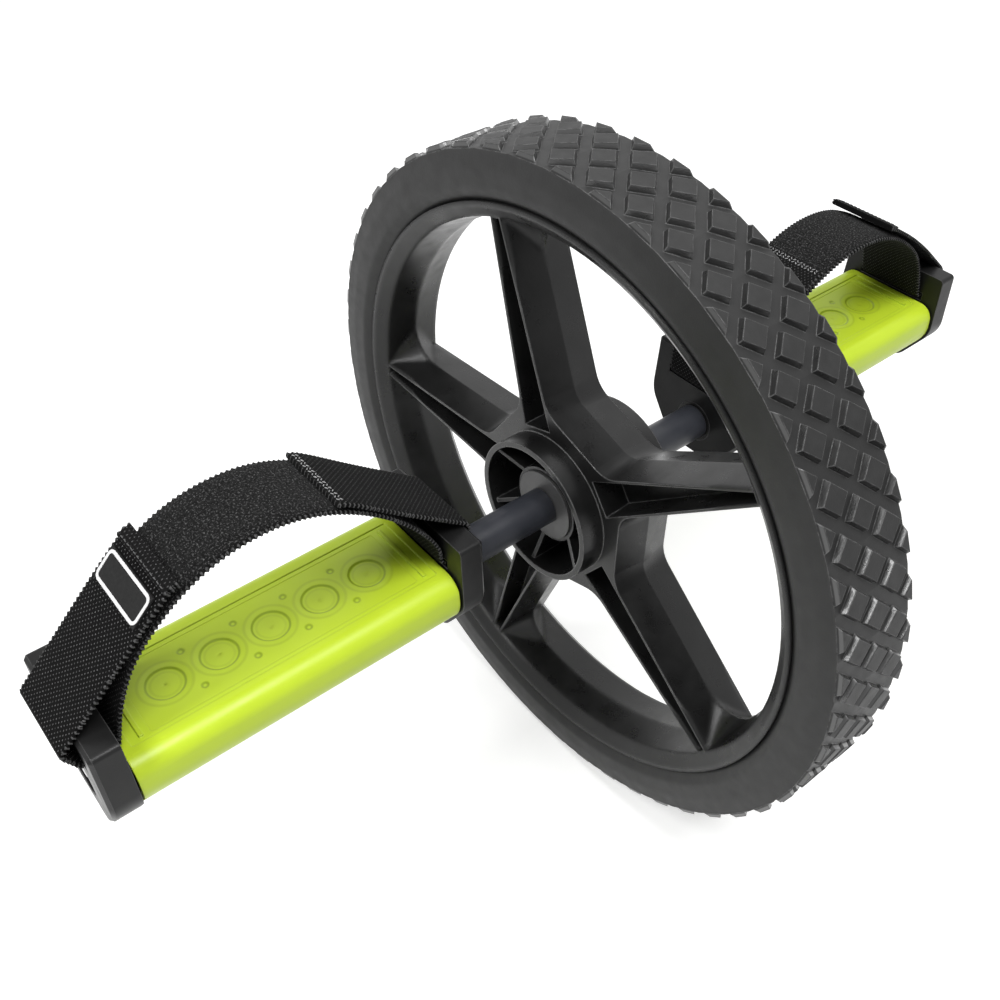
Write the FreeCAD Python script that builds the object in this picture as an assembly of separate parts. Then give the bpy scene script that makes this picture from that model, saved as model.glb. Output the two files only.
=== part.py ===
import FreeCAD, Part
import math
import os

# Ab wheel roller: one large tyred wheel on an axle, with a strapped pedal turning at each end.
# Lengths are millimetres and angles are degrees.
# The axle lies along Y, the wheel centre is the origin and Z is up.
# Every pedal piece is drawn on the +Y side (left) and mirrored for the -Y side (right).

# Fits, and the one overrun used by cutters
overrun = 2.0
running_clearance = 0.06
slip_clearance = 0.05
part_clearance = 0.3
end_float = 0.3
full_turn = 360.0

# Tyre
tyre_radius = 178.0
tyre_height = 25.8
tread_depth = 2.4
tread_half_width = 22.3
tyre_bead_half_width = 19.6
tyre_belly_half_width = 23.2
tyre_shoulder_drop = 1.2
sidewall_belly_shares = (0.26, 0.68)

# Tread blocks: diamonds on a staggered lattice, half diamonds along both edges
tread_pitch_count = 50
tread_row_step = 11.7
block_top_half = 6.8
block_base_half = 7.9
block_sink = 1.0
block_edge_bevel = 1.1
tread_angle = 3.1

# Rim and spokes
rim_half_width = 21.6
rim_lip_depth = 1.9
rim_ridge_depth = 11.2
spoke_count = 5
spoke_angle = 36.5
spoke_half_depth = 17.0
spoke_web_half = 2.2
spoke_hub_radius = 60.0
spoke_rim_inset = 1.0
spoke_hub_half = 12.4
spoke_rim_half = 7.0
spoke_draft = 3.15
window_hub_flat = 50.0
window_hub_round = 12.0
window_rim_round = 17.0
corner_web_chords = 6
corner_web_sink = 0.4
corner_web_root = 3.0
corner_web_tip = 1.0
flange_thick = 1.2
channel_start_radius = 40.5
channel_end_inset = 0.6
channel_draft = 0.7

# Hub
hub_ring_radius = 38.0
hub_ring_inner_radius = 35.0
hub_ring_half_length = 30.0
hub_boss_radius = 20.6
hub_boss_half_length = 21.0
hub_web_half = 3.0
hub_rib_count = 6
hub_rib_angle = 28.0
hub_rib_thick = 2.2
hub_rib_recess = 3.0
hub_bush_radius = 18.6
hub_bush_length = 15.0
hub_bush_stand = 1.2

# Axle, sleeves, washers and nuts
axle_radius = 8.0
axle_thread_radius = 6.0
sleeve_radius = 9.5
end_washer_radius = 11.5
end_washer_thick = 1.5
nut_half_across = 9.5
nut_thick = 5.2
nut_sides = 6
axle_tip = 0.5
axle_bevel = 0.8

# Pedal layout along the axle
pedal_start = 85.0
cap_thick = 12.5
cap_gap = 1.0
grip_length = 151.5

# Pedal caps
cap_top = 38.8
cap_top_half = 31.6
cap_waist_half = 33.4
cap_waist_height = 3.0
cap_foot_half = 17.0
cap_bottom = -21.0
cap_top_round = 2.2
cap_waist_round = 18.0
cap_foot_round = 13.0
cap_bevel = 1.5
key_depth = 2.0
slot_low = 21.3
slot_height = 4.8
slot_half = 21.6
nut_recess_radius = 13.4
nut_recess_floor = 4.5

# Grip sleeve and the pattern on its top
grip_top = 20.6
grip_top_half = 30.8
grip_waist_half = 32.2
grip_waist_height = 3.0
grip_foot_half = 16.0
grip_bottom = -19.6
grip_top_round = 8.5
grip_waist_round = 18.0
grip_foot_round = 13.0
grip_wall = 3.6
ledge_half_width = 20.6
ledge_end_margin = 3.95
ledge_depth = 0.5
panel_half_width = 18.2
panel_end_margin = 9.1
panel_depth = 1.0
panel_round = 1.0
ring_count = 5
ring_end_margin = 14.5
ring_radius = 8.2
ring_depth = 0.6
end_ridge_half = 18.0
end_ridge_width = 1.8
end_ridge_height = 0.3
end_ridge_gap = 4.1

# Core inside the grip
core_radius = 11.5
core_fin_thick = 3.0

# Straps: webbing that threads both cap slots and arches over the grip
# Their corners are shares of the gap between the caps and of the rise from slot to crest.
strap_half_width = 20.0
strap_thick = 1.9
strap_bend = 2.4
strap_crest_right = 92.7
strap_crest_left = 83.5
layer_lift = 2.6
bend_share = 0.45
arch_shares = ((0.014, 0.178), (0.130, 0.548), (0.290, 0.845), (0.472, 1.0),
               (0.690, 0.939), (0.880, 0.613), (0.954, 0.309))
hem_share = 0.17
right_flap_shares = ((0.742, 0.912), (0.782, 0.888))
left_flap_shares = ((0.668, 1.012), (0.705, 0.982), (0.900, 0.665))
flap_slack = 5.0
label_half_width = 17.0
label_length = 14.0
label_thick = 0.9
label_start = 3.0

origin = FreeCAD.Vector(0, 0, 0)
axle_line = FreeCAD.Vector(0, 1, 0)
turn_line = FreeCAD.Vector(0, -1, 0)
up_line = FreeCAD.Vector(0, 0, 1)

# Places along the axle that several pieces share
inner_cap_end = pedal_start + cap_thick
grip_start = inner_cap_end + cap_gap
grip_end = grip_start + grip_length
outer_cap_start = grip_end + cap_gap
pedal_end = outer_cap_start + cap_thick
grip_middle = (grip_start + grip_end) / 2
ledge_length = grip_length - ledge_end_margin * 2
panel_length = ledge_length - panel_end_margin * 2
ring_pitch = (panel_length - ring_end_margin * 2) / (ring_count - 1)
end_ridge_away = panel_length / 2 + end_ridge_gap
slot_middle = slot_low + slot_height / 2
inner_join = pedal_start + strap_bend
outer_join = pedal_end - strap_bend
groove_radius = tyre_radius - tread_depth
tyre_seat_radius = tyre_radius - tyre_height
rim_lip_radius = tyre_seat_radius - rim_lip_depth
rim_ridge_radius = tyre_seat_radius - rim_ridge_depth
rim_face_radius = rim_ridge_radius + spoke_draft
spoke_rim_radius = rim_ridge_radius - spoke_rim_inset
recess_floor = outer_cap_start + nut_recess_floor
axle_shoulder = recess_floor + end_float
axle_end = axle_shoulder + end_washer_thick + nut_thick + axle_tip
sleeve_start = hub_boss_half_length + hub_bush_stand + end_float
sleeve_end = pedal_start - end_float


def at(x, y, z):
    return FreeCAD.Vector(x, y, z)


def rod(radius, start, end):
    """Solid cylinder about the axle."""
    return Part.makeCylinder(radius, end - start, at(0, start, 0), axle_line)


def tube(outer, inner, start, end):
    """Hollow cylinder about the axle."""
    return rod(outer, start, end).cut(rod(inner, start - overrun, end + overrun))


def both_sides(shape):
    """The shape and its mirror image across the wheel's middle plane."""
    return [shape, shape.mirror(origin, axle_line)]


def box_between(x0, x1, y0, y1, z0, z1):
    return Part.makeBox(x1 - x0, y1 - y0, z1 - z0, at(x0, y0, z0))


def spun(outline):
    """Solid turned about the axle from half an outline of (radius, along) corners."""
    full = outline + [(radius, -along) for radius, along in reversed(outline)]
    points = [at(radius, along, 0) for radius, along in full]
    points.append(points[0])
    return Part.Face(Part.makePolygon(points)).revolve(origin, axle_line, full_turn)


def around(shape, count, first_angle):
    """Copies of the shape set evenly round the axle."""
    copies = []
    for index in range(count):
        copy = shape.copy()
        copy.rotate(origin, turn_line, first_angle + full_turn * index / count)
        copies.append(copy)
    return copies


def unit(a, b):
    size = math.hypot(a, b)
    return a / size, b / size


def polygon_prism(corner_radius, sides, first_angle, start, end):
    """Many-sided bar about the axle, with one corner at the first angle."""
    points = []
    for index in range(sides + 1):
        angle = math.radians(first_angle + full_turn * index / sides)
        points.append(at(corner_radius * math.cos(angle), start, corner_radius * math.sin(angle)))
    return Part.Face(Part.makePolygon(points)).extrude(at(0, end - start, 0))


def plain_frustum(low, high):
    """Flat-sided solid between two matching outlines of points."""
    faces = [Part.Face(Part.makePolygon(low + low[:1])), Part.Face(Part.makePolygon(high + high[:1]))]
    for index in range(len(low)):
        after = (index + 1) % len(low)
        side = [low[index], low[after], high[after], high[index], low[index]]
        faces.append(Part.Face(Part.makePolygon(side)))
    solid = Part.Solid(Part.Shell(faces))
    if solid.Volume < 0:
        solid.reverse()
    return solid


def rounded_wire(corners, place):
    """Closed wire through (a, b, round) corners; place turns (a, b) into a point."""
    starts = []
    middles = []
    ends = []
    count = len(corners)
    for index in range(count):
        a, b, radius = corners[index]
        before = corners[index - 1]
        after = corners[(index + 1) % count]
        ua, ub = unit(before[0] - a, before[1] - b)
        va, vb = unit(after[0] - a, after[1] - b)
        half = math.acos(ua * va + ub * vb) / 2
        reach = radius / math.tan(half)
        ca, cb = unit(ua + va, ub + vb)
        inset = radius / math.sin(half) - radius
        starts.append(place(a + ua * reach, b + ub * reach))
        ends.append(place(a + va * reach, b + vb * reach))
        middles.append(place(a + ca * inset, b + cb * inset))
    edges = []
    for index in range(count):
        edges.append(Part.Arc(starts[index], middles[index], ends[index]).toShape())
        edges.append(Part.makeLine(ends[index], starts[(index + 1) % count]))
    return Part.Wire(edges)


def outline_solid(corners, start, end):
    """Section given across the pedal, drawn out along the axle."""
    wire = rounded_wire(corners, lambda a, b: at(a, start, b))
    return Part.Face(wire).extrude(at(0, end - start, 0))


def spoke_side(narrowed):
    """Side of the spoke above an opening centred on +X: its way outwards, its normal and its offset."""
    lean = math.radians(full_turn / spoke_count / 2)
    ea, eb = math.cos(lean), math.sin(lean)
    first = (ea * spoke_hub_radius + eb * spoke_hub_half, eb * spoke_hub_radius - ea * spoke_hub_half)
    last = (ea * spoke_rim_radius + eb * spoke_rim_half, eb * spoke_rim_radius - ea * spoke_rim_half)
    da, db = unit(last[0] - first[0], last[1] - first[1])
    return da, db, db, -da, db * first[0] - da * first[1] - narrowed


def side_point(side, radius):
    """Where a spoke's side reaches a radius."""
    da, db, na, nb, offset = side
    reach = math.sqrt(radius ** 2 - offset ** 2)
    return offset * na + reach * da, offset * nb + reach * db


def window_wire(level):
    """Outline of one opening, centred on +X and run on past the rim, at one distance from the middle plane."""
    narrowed = spoke_draft * level / spoke_half_depth
    side = spoke_side(narrowed)
    na, nb, offset = side[2:]
    hub_round = window_hub_round + narrowed
    hub_a = window_hub_flat + window_hub_round
    hub_b = (offset + hub_round - na * hub_a) / nb
    wa, wb = unit(-1 - na, -nb)
    hub_point = (hub_a - hub_round, hub_b)
    hub_middle = (hub_a + hub_round * wa, hub_b + hub_round * wb)
    side_hub = (hub_a - hub_round * na, hub_b - hub_round * nb)
    side_end = side_point(side, tyre_radius)

    def up(point):
        return at(point[0], level, point[1])

    def down(point):
        return at(point[0], level, -point[1])

    edges = [Part.makeLine(down(hub_point), up(hub_point))]
    edges.append(Part.Arc(up(hub_point), up(hub_middle), up(side_hub)).toShape())
    edges.append(Part.makeLine(up(side_hub), up(side_end)))
    edges.append(Part.makeLine(up(side_end), down(side_end)))
    edges.append(Part.makeLine(down(side_end), down(side_hub)))
    edges.append(Part.Arc(down(side_hub), down(hub_middle), down(hub_point)).toShape())
    return Part.Wire(edges)


def make_windows():
    """Cutters for the openings, drafted from both faces to the middle plane and trimmed to the rim's cone."""
    half = Part.makeLoft([window_wire(0), window_wire(spoke_half_depth)], True, True)
    half = half.common(Part.makeCone(rim_ridge_radius, rim_face_radius, spoke_half_depth, origin, axle_line))
    first_angle = spoke_angle + full_turn / spoke_count / 2
    cutters = []
    for piece in both_sides(half):
        cutters.extend(around(piece, spoke_count, first_angle))
    return cutters


def make_corner_webs():
    """Webs that round the corners between spokes and rim at the middle plane and fade out at both faces."""
    side = spoke_side(0)
    da, db, na, nb, offset = side
    corner = side_point(side, rim_ridge_radius)
    round_line = (da, db, na, nb, offset + window_rim_round)
    centre = side_point(round_line, rim_ridge_radius - window_rim_round)
    ka, kb = unit(corner[0] - centre[0], corner[1] - centre[1])
    first = math.atan2(-nb, -na)
    last = math.atan2(centre[1], centre[0])
    base = [at(corner[0] + ka * corner_web_root, 0, corner[1] + kb * corner_web_root)]
    for index in range(corner_web_chords + 1):
        angle = first + (last - first) * index / corner_web_chords
        a = centre[0] + ka * corner_web_sink + window_rim_round * math.cos(angle)
        b = centre[1] + kb * corner_web_sink + window_rim_round * math.sin(angle)
        base.append(at(a, 0, b))
    face_corner = side_point(spoke_side(spoke_draft), rim_face_radius)
    faces = []
    for level in (spoke_half_depth, -spoke_half_depth):
        tip = at(face_corner[0] + ka * corner_web_tip, level, face_corner[1] + kb * corner_web_tip)
        for index in range(len(base)):
            faces.append(Part.Face(Part.makePolygon([base[index - 1], base[index], tip, base[index - 1]])))
    web = Part.Solid(Part.Shell(faces))
    if web.Volume < 0:
        web.reverse()
    first_angle = spoke_angle + full_turn / spoke_count / 2
    webs = around(web, spoke_count, first_angle)
    return webs + around(web.mirror(origin, up_line), spoke_count, first_angle)


def channel_outline(level, shrink):
    """Corners of the channel in one spoke, lying along +X, at one depth."""
    slope = (spoke_rim_half - spoke_hub_half) / (spoke_rim_radius - spoke_hub_radius)
    face_half = spoke_hub_half - spoke_draft - flange_thick - shrink
    start = channel_start_radius + shrink
    end = rim_face_radius - channel_end_inset - shrink
    start_half = face_half + slope * (start - spoke_hub_radius)
    end_half = face_half + slope * (end - spoke_hub_radius)
    corners = [(start, -start_half), (end, -end_half), (end, end_half), (start, start_half)]
    return [at(a, level, b) for a, b in corners]


def make_channels():
    """Cutters for the channels that leave each spoke an H in section."""
    top = channel_outline(spoke_half_depth, 0)
    half = plain_frustum(channel_outline(spoke_web_half, channel_draft), top)
    cutters = []
    for piece in both_sides(half):
        cutters.extend(around(piece, spoke_count, spoke_angle))
    return cutters


def make_ribs():
    """Ribs between the hub's boss and its ring, sloping down to the boss."""
    inner = (hub_bush_radius + hub_boss_radius) / 2
    outer = (hub_ring_inner_radius + hub_ring_radius) / 2
    high = hub_ring_half_length - hub_rib_recess
    corners = [(inner, 0), (outer, 0), (outer, high), (hub_ring_inner_radius, high)]
    corners += [(hub_boss_radius, hub_boss_half_length), (inner, hub_boss_half_length)]
    points = [at(radius, along, -hub_rib_thick / 2) for radius, along in corners]
    points.append(points[0])
    rib = Part.Face(Part.makePolygon(points)).extrude(at(0, 0, hub_rib_thick))
    ribs = []
    for piece in both_sides(rib):
        ribs.extend(around(piece, hub_rib_count, hub_rib_angle))
    return ribs


def make_wheel_rim():
    """Rim, spokes, hub ring, ribs and boss as one moulding."""
    edge = [(hub_bush_radius, hub_boss_half_length), (hub_boss_radius, hub_boss_half_length)]
    edge += [(hub_boss_radius, hub_web_half), (hub_ring_inner_radius, hub_web_half)]
    edge += [(hub_ring_inner_radius, hub_ring_half_length), (hub_ring_radius, hub_ring_half_length)]
    edge += [(hub_ring_radius, spoke_half_depth), (rim_face_radius, spoke_half_depth)]
    edge += [(rim_lip_radius, rim_half_width), (tyre_seat_radius, rim_half_width)]
    body = spun(edge).cut(make_windows() + make_channels())
    return body.fuse(make_ribs() + make_corner_webs()).removeSplitter()


def block(top, base):
    """Tread block from matching top and base outlines of (round, along) points."""
    high = [at(tyre_radius, along, turn) for turn, along in top]
    low = [at(groove_radius - block_sink, along, turn) for turn, along in base]
    return plain_frustum(low, high)


def make_blocks():
    """All tread blocks: whole diamonds in three rows and half diamonds on both edges."""
    flare = (block_base_half - block_top_half) * block_sink / tread_depth
    base_half = block_base_half + flare
    top = [(block_top_half, 0), (0, block_top_half), (-block_top_half, 0), (0, -block_top_half)]
    base = [(base_half, 0), (0, base_half), (-base_half, 0), (0, -base_half)]
    whole = block(top, base)
    shifted = whole.copy()
    shifted.translate(at(0, tread_row_step, 0))
    edge_row = tread_row_step * 2
    top_edge = tread_half_width - block_edge_bevel
    top_half = block_top_half - edge_row + top_edge
    low_half = base_half - edge_row + tread_half_width
    half_top = [(top_half, top_edge), (-top_half, top_edge), (0, edge_row - block_top_half)]
    half_base = [(low_half, tread_half_width), (-low_half, tread_half_width), (0, edge_row - base_half)]
    half_pitch = full_turn / tread_pitch_count / 2
    blocks = around(whole, tread_pitch_count, tread_angle)
    for piece in both_sides(block(half_top, half_base)):
        blocks.extend(around(piece, tread_pitch_count, tread_angle))
    for piece in both_sides(shifted):
        blocks.extend(around(piece, tread_pitch_count, tread_angle + half_pitch))
    return blocks


def make_tyre():
    """Rubber tyre: a bulged ring, a tread floor with a flat under each block, and the blocks."""
    shoulder_radius = groove_radius - tyre_shoulder_drop
    height = shoulder_radius - tyre_seat_radius
    edge = [(tyre_seat_radius, tyre_bead_half_width)]
    for share in sidewall_belly_shares:
        edge.append((tyre_seat_radius + height * share, tyre_belly_half_width))
    edge.append((shoulder_radius, tread_half_width))
    body = spun(edge)
    corner_angle = tread_angle + full_turn / tread_pitch_count / 2
    edge_along = tread_half_width
    floor = polygon_prism(groove_radius, tread_pitch_count, corner_angle, -edge_along, edge_along)
    inside = shoulder_radius - tyre_shoulder_drop
    floor = floor.cut(rod(inside, -edge_along - overrun, edge_along + overrun))
    return body.fuse([floor] + make_blocks())


def make_hub_bush():
    """Nylon bush pressed into one end of the hub's boss, standing a little out of it."""
    end = hub_boss_half_length + hub_bush_stand
    return tube(hub_bush_radius, axle_radius + running_clearance, end - hub_bush_length, end)


def make_axle():
    """Stepped steel axle; the thinner ends carry the lock nuts."""
    outline = [(axle_radius, axle_shoulder), (axle_thread_radius, axle_shoulder)]
    outline += [(axle_thread_radius, axle_end - axle_bevel), (axle_thread_radius - axle_bevel, axle_end)]
    outline += [(0, axle_end)]
    return spun(outline)


def make_nut():
    """Lock nut on the end of the axle."""
    start = axle_shoulder + end_washer_thick
    corner_radius = nut_half_across / math.cos(math.pi / nut_sides)
    body = polygon_prism(corner_radius, nut_sides, 0, start, start + nut_thick)
    return body.cut(rod(axle_thread_radius + slip_clearance, start - overrun, axle_end + overrun))


def cap_corners():
    """Cap outline as (across, up, round) corners."""
    right = [(cap_foot_half, cap_bottom, cap_foot_round)]
    right += [(cap_waist_half, cap_waist_height, cap_waist_round)]
    right += [(cap_top_half, cap_top, cap_top_round)]
    return right + [(-across, up, radius) for across, up, radius in reversed(right)]


def grip_corners(inset):
    """Grip outline as (across, up, round) corners, shrunk by an inset."""
    right = [(grip_foot_half - inset, grip_bottom + inset, grip_foot_round - inset)]
    right += [(grip_waist_half - inset, grip_waist_height, grip_waist_round - inset)]
    right += [(grip_top_half - inset, grip_top - inset, grip_top_round - inset)]
    return right + [(-across, up, radius) for across, up, radius in reversed(right)]


def core_fins(start, end, gap):
    """Two crossed plates through the pedal, trimmed to the inside of the grip and widened by a gap."""
    half = core_fin_thick / 2 + gap
    across = box_between(-grip_waist_half, grip_waist_half, start, end, -half, half)
    upright = box_between(-half, half, start, end, grip_bottom, grip_top)
    inside = outline_solid(grip_corners(grip_wall + part_clearance - gap), start, end)
    return across.fuse(upright).common(inside)


def make_cap(outside, inside):
    """Pedal cap with a strap bar over its slot, keyed to the core's fins.

    outside is the face away from the grip and inside is the face towards it.
    """
    way = 1 if inside > outside else -1
    low, high = min(outside, inside), max(outside, inside)
    body = outline_solid(cap_corners(), low, high)
    rim = [edge for edge in body.Edges if abs(edge.CenterOfMass.y - outside) < slip_clearance]
    body = body.makeChamfer(cap_bevel, rim)
    key_floor = inside - way * (key_depth + slip_clearance)
    cutters = [rod(core_radius + slip_clearance, low - overrun, high + overrun)]
    cutters.append(core_fins(min(key_floor, inside), max(key_floor, inside), slip_clearance))
    cutters.append(box_between(-slot_half, slot_half, low - overrun, high + overrun, slot_low,
                               slot_low + slot_height))
    if outside > inside:
        cutters.append(rod(nut_recess_radius, recess_floor, outside + overrun))
    return body.cut(cutters).removeSplitter()


def sunk_rectangle(half_width, length, depth):
    """Cutter for a rectangle sunk into the grip's top."""
    start = grip_middle - length / 2
    end = grip_middle + length / 2
    corners = [(-half_width, start, panel_round), (half_width, start, panel_round)]
    corners += [(half_width, end, panel_round), (-half_width, end, panel_round)]
    wire = rounded_wire(corners, lambda a, b: at(a, b, grip_top - depth))
    return Part.Face(wire).extrude(at(0, 0, depth + overrun))


def make_grip():
    """Soft sleeve with a ledged panel, round dishes and end ridges on top."""
    body = outline_solid(grip_corners(0), grip_start, grip_end)
    body = body.cut(outline_solid(grip_corners(grip_wall), grip_start - overrun, grip_end + overrun))
    cutters = [sunk_rectangle(ledge_half_width, ledge_length, ledge_depth)]
    cutters.append(sunk_rectangle(panel_half_width, panel_length, panel_depth))
    for index in range(ring_count):
        along = grip_middle + ring_pitch * (index - (ring_count - 1) / 2)
        base = at(0, along, grip_top - panel_depth - ring_depth)
        cutters.append(Part.makeCylinder(ring_radius, ring_depth + overrun, base, up_line))
    ridges = []
    for along in (grip_middle - end_ridge_away, grip_middle + end_ridge_away):
        start = along - end_ridge_width / 2
        end = along + end_ridge_width / 2
        low = grip_top - grip_wall / 2
        ridges.append(box_between(-end_ridge_half, end_ridge_half, start, end, low, grip_top + end_ridge_height))
    return body.cut(cutters).fuse(ridges).removeSplitter()


def make_core():
    """Carrier inside the grip: a tube that runs on the axle, with fins that hold sleeve and caps."""
    body = rod(core_radius, pedal_start, recess_floor)
    body = body.fuse(core_fins(inner_cap_end - key_depth, outer_cap_start + key_depth, 0))
    bore = rod(axle_radius + running_clearance, pedal_start - overrun, recess_floor + overrun)
    return body.cut(bore).removeSplitter()


def route_edges(points, lift):
    """Lines and arcs along (along, up, bend) points, shifted to the left of travel by a lift.

    A bend of zero stands for the widest arc that the two runs allow.
    """
    edges = []
    last = None
    for index in range(len(points)):
        a, b, bend = points[index]
        if index > 0:
            ua, ub = unit(a - points[index - 1][0], b - points[index - 1][1])
        if index < len(points) - 1:
            va, vb = unit(points[index + 1][0] - a, points[index + 1][1] - b)
        if index == 0:
            last = at(0, a - vb * lift, b + va * lift)
            continue
        if index == len(points) - 1:
            edges.append(Part.makeLine(last, at(0, a - ub * lift, b + ua * lift)))
            continue
        tangent = math.tan(math.acos(ua * va + ub * vb) / 2)
        before = math.hypot(a - points[index - 1][0], b - points[index - 1][1])
        after = math.hypot(points[index + 1][0] - a, points[index + 1][1] - b)
        reach = bend * tangent if bend else bend_share * min(before, after)
        radius = reach / tangent
        na, nb = unit(-ub - vb, ua + va)
        turn = 1 if ua * vb - ub * va > 0 else -1
        rise = turn * (math.hypot(radius, reach) - radius)
        start = at(0, a - ua * reach - ub * lift, b - ub * reach + ua * lift)
        middle = at(0, a + na * (rise + lift), b + nb * (rise + lift))
        end = at(0, a + va * reach - vb * lift, b + vb * reach + va * lift)
        edges.append(Part.makeLine(last, start))
        edges.append(Part.Arc(start, middle, end).toShape())
        last = end
    return edges


def strip(points, thick, half_width, lift=0):
    """Webbing of even thickness along a route, lifted off it to the left of travel."""
    over = route_edges(points, lift + thick / 2)
    under = route_edges(points, lift - thick / 2)
    ends = [Part.makeLine(over[-1].Vertexes[-1].Point, under[-1].Vertexes[-1].Point)]
    ends.append(Part.makeLine(under[0].Vertexes[0].Point, over[0].Vertexes[0].Point))
    wire = Part.Wire(over + ends[:1] + under[::-1] + ends[1:])
    wire.translate(at(-half_width, 0, 0))
    return Part.Face(wire).extrude(at(half_width * 2, 0, 0))


def arch_point(shares, crest):
    """Point over the grip from shares of the gap between the caps and of the rise."""
    along = inner_cap_end + (outer_cap_start - inner_cap_end) * shares[0]
    return along, slot_middle + (crest - slot_middle) * shares[1], 0


def arch_points(crest):
    """Corners of the webbing from slot to slot over the grip."""
    stand_off = strap_thick / 2 + part_clearance
    points = [(inner_join, slot_middle, 0), (inner_cap_end + stand_off, slot_middle, strap_bend)]
    points += [arch_point(shares, crest) for shares in arch_shares]
    points.append((outer_cap_start - stand_off, slot_middle, strap_bend))
    points.append((outer_join, slot_middle, 0))
    return points


def lifted(points, index):
    """Corner of a layer that lies on the webbing, beside one of the webbing's corners."""
    ua, ub = unit(points[index][0] - points[index - 1][0], points[index][1] - points[index - 1][1])
    va, vb = unit(points[index + 1][0] - points[index][0], points[index + 1][1] - points[index][1])
    reach = layer_lift / (1 + ua * va + ub * vb)
    return points[index][0] - (ub + vb) * reach, points[index][1] + (ua + va) * reach, 0


def make_return(crest):
    """Sewn end: out of the inner slot, round the bar and back along the arch to its hem."""
    arch = arch_points(crest)
    outside = pedal_start - strap_thick / 2 - part_clearance
    points = [(inner_join, slot_middle, 0), (outside, slot_middle, strap_bend)]
    points.append((outside, cap_top, strap_bend))
    points.append(lifted(arch, 3))
    points.append(lifted(arch, 4))
    after = lifted(arch, 5)
    points.append((points[-1][0] + (after[0] - points[-1][0]) * hem_share,
                   points[-1][1] + (after[1] - points[-1][1]) * hem_share, 0))
    return strip(points, strap_thick, strap_half_width)


def flap_points(crest, flap_shares):
    """Hook end: from its tip straight down past the bar, then folded back into the outer slot."""
    outside = pedal_end + strap_thick / 2 + part_clearance
    points = [arch_point(shares, crest) for shares in flap_shares]
    slope = (cap_top - points[-1][1]) / (outside - points[-1][0])
    points.append((outside + flap_slack, cap_top + slope * flap_slack, strap_bend))
    points.append((outside, slot_middle, strap_bend))
    points.append((outer_join, slot_middle, 0))
    return points


def make_label(flap):
    """Blank patch on the straight run of the hook end, just below its tip."""
    top, foot = flap[1], flap[2]
    da, db = unit(foot[0] - top[0], foot[1] - top[1])
    start = (top[0] + da * label_start, top[1] + db * label_start, 0)
    end = (start[0] + da * label_length, start[1] + db * label_length, 0)
    return strip([start, end], label_thick, label_half_width, (strap_thick + label_thick) / 2)


def make_pedal(crest, flap_shares):
    """All pieces of one pedal on the +Y side, by name."""
    loose = {}
    loose["grip"] = make_grip()
    loose["pedal_core"] = make_core()
    loose["inner_cap"] = make_cap(pedal_start, inner_cap_end)
    loose["outer_cap"] = make_cap(pedal_end, outer_cap_start)
    loose["strap_loop"] = strip(arch_points(crest), strap_thick, strap_half_width)
    loose["strap_return"] = make_return(crest)
    loose["strap_flap"] = strip(flap_points(crest, flap_shares), strap_thick, strap_half_width)
    return loose


def make_all():
    """Every node of the part, by name, in its place."""
    nodes = {}
    nodes["axle_shaft"] = make_axle()
    sleeve = tube(sleeve_radius, axle_radius + slip_clearance, sleeve_start, sleeve_end)
    nodes["spacer_sleeves"] = Part.makeCompound(both_sides(sleeve))
    washer_end = axle_shoulder + end_washer_thick
    washer = tube(end_washer_radius, axle_thread_radius + slip_clearance, axle_shoulder, washer_end)
    nodes["end_washers"] = Part.makeCompound(both_sides(washer))
    nodes["end_nuts"] = Part.makeCompound(both_sides(make_nut()))
    nodes["wheel_rim"] = make_wheel_rim()
    nodes["tyre"] = make_tyre()
    nodes["hub_bushes"] = Part.makeCompound(both_sides(make_hub_bush()))
    for name, shape in make_pedal(strap_crest_left, left_flap_shares).items():
        nodes[name + "_left"] = shape
    for name, shape in make_pedal(strap_crest_right, right_flap_shares).items():
        nodes[name + "_right"] = shape.mirror(origin, axle_line)
    label = make_label(flap_points(strap_crest_right, right_flap_shares))
    nodes["label_patch"] = label.mirror(origin, axle_line)
    return nodes


os.makedirs("parts", exist_ok=True)
for node_name, node_shape in make_all().items():
    node_shape.exportStep("parts/" + node_name + ".step")
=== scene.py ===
import math

import bpy
from mathutils import Matrix, Vector, noise


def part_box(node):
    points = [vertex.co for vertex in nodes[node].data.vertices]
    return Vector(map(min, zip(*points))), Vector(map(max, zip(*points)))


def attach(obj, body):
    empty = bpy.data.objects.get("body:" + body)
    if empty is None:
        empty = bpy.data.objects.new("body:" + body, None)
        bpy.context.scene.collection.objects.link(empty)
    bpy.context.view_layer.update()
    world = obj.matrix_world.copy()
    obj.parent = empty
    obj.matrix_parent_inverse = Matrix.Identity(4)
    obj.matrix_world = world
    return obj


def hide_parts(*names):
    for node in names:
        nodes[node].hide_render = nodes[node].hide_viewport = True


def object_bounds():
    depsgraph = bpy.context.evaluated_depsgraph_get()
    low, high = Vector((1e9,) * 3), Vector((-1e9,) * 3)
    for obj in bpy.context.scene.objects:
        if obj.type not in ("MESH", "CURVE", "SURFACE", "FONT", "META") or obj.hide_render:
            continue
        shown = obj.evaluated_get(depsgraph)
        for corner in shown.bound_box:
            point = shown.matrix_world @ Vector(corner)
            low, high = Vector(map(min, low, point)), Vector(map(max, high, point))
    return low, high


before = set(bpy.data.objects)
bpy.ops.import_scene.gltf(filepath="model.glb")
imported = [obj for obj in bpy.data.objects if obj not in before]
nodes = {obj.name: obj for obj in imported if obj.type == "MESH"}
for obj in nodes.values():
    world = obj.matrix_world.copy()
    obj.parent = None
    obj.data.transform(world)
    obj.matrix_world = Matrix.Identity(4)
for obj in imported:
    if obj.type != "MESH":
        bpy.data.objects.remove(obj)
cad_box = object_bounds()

# Ab wheel roller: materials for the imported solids, and the soft straps modelled as woven webbing.
# Lengths are millimetres unless a comment says metres; METRE turns them into scene units.
METRE = 0.001
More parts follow.
